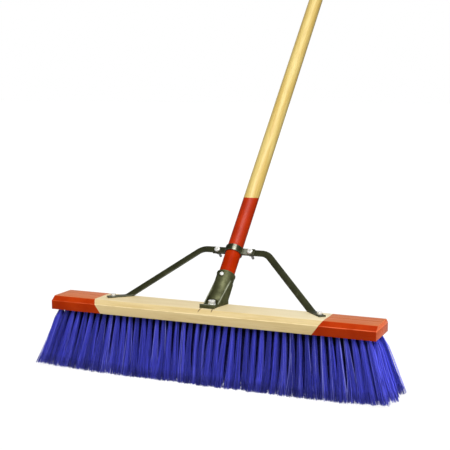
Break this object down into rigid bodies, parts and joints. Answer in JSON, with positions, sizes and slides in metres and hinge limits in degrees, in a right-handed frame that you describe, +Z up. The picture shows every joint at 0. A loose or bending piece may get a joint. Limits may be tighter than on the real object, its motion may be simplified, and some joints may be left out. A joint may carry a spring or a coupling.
{
  "type": "push broom",
  "caption": "Push broom: chamfered wooden block with dipped ends and stiff blue bristle tufts, a handle leaning back in a steel socket, and a two-arm steel brace clamped to it.",
  "frame": {"origin": "on the floor, at the trimmed end of the middle bristle tuft, under the middle of the block", "axes": "+X along the block, +Y to the back, the side the handle leans to, +Z up"},
  "size_m": [0.6706, 1.1423, 1.2524],
  "materials": {
    "block_wood": "lacquered, ends dipped in red paint",
    "pole_wood": "gloss lacquer, foot dipped in red paint",
    "bristle": "extruded filament",
    "dark_steel": "dark olive oxide and lacquer",
    "zinc_steel": "bright zinc plate"
  },
  "bodies": {
    "root": {"block": "block_wood", "tuft_row_front_outer": "bristle", "tuft_row_front_inner": "bristle", "tuft_row_middle": "bristle", "tuft_row_rear_inner": "bristle", "tuft_row_rear_outer": "bristle", "tuft_staples": "zinc_steel", "handle": "pole_wood", "handle_bracket": "dark_steel", "handle_lock_screw": "zinc_steel", "bracket_screw": "zinc_steel", "bracket_washer": "zinc_steel", "brace_arm_left": "dark_steel", "brace_arm_right": "dark_steel", "brace_screw_left": "zinc_steel", "brace_screw_right": "zinc_steel", "clamp_bolt_left": "zinc_steel", "clamp_bolt_right": "zinc_steel", "clamp_nut_left": "zinc_steel", "clamp_nut_right": "zinc_steel"}
  },
  "joints": []
}
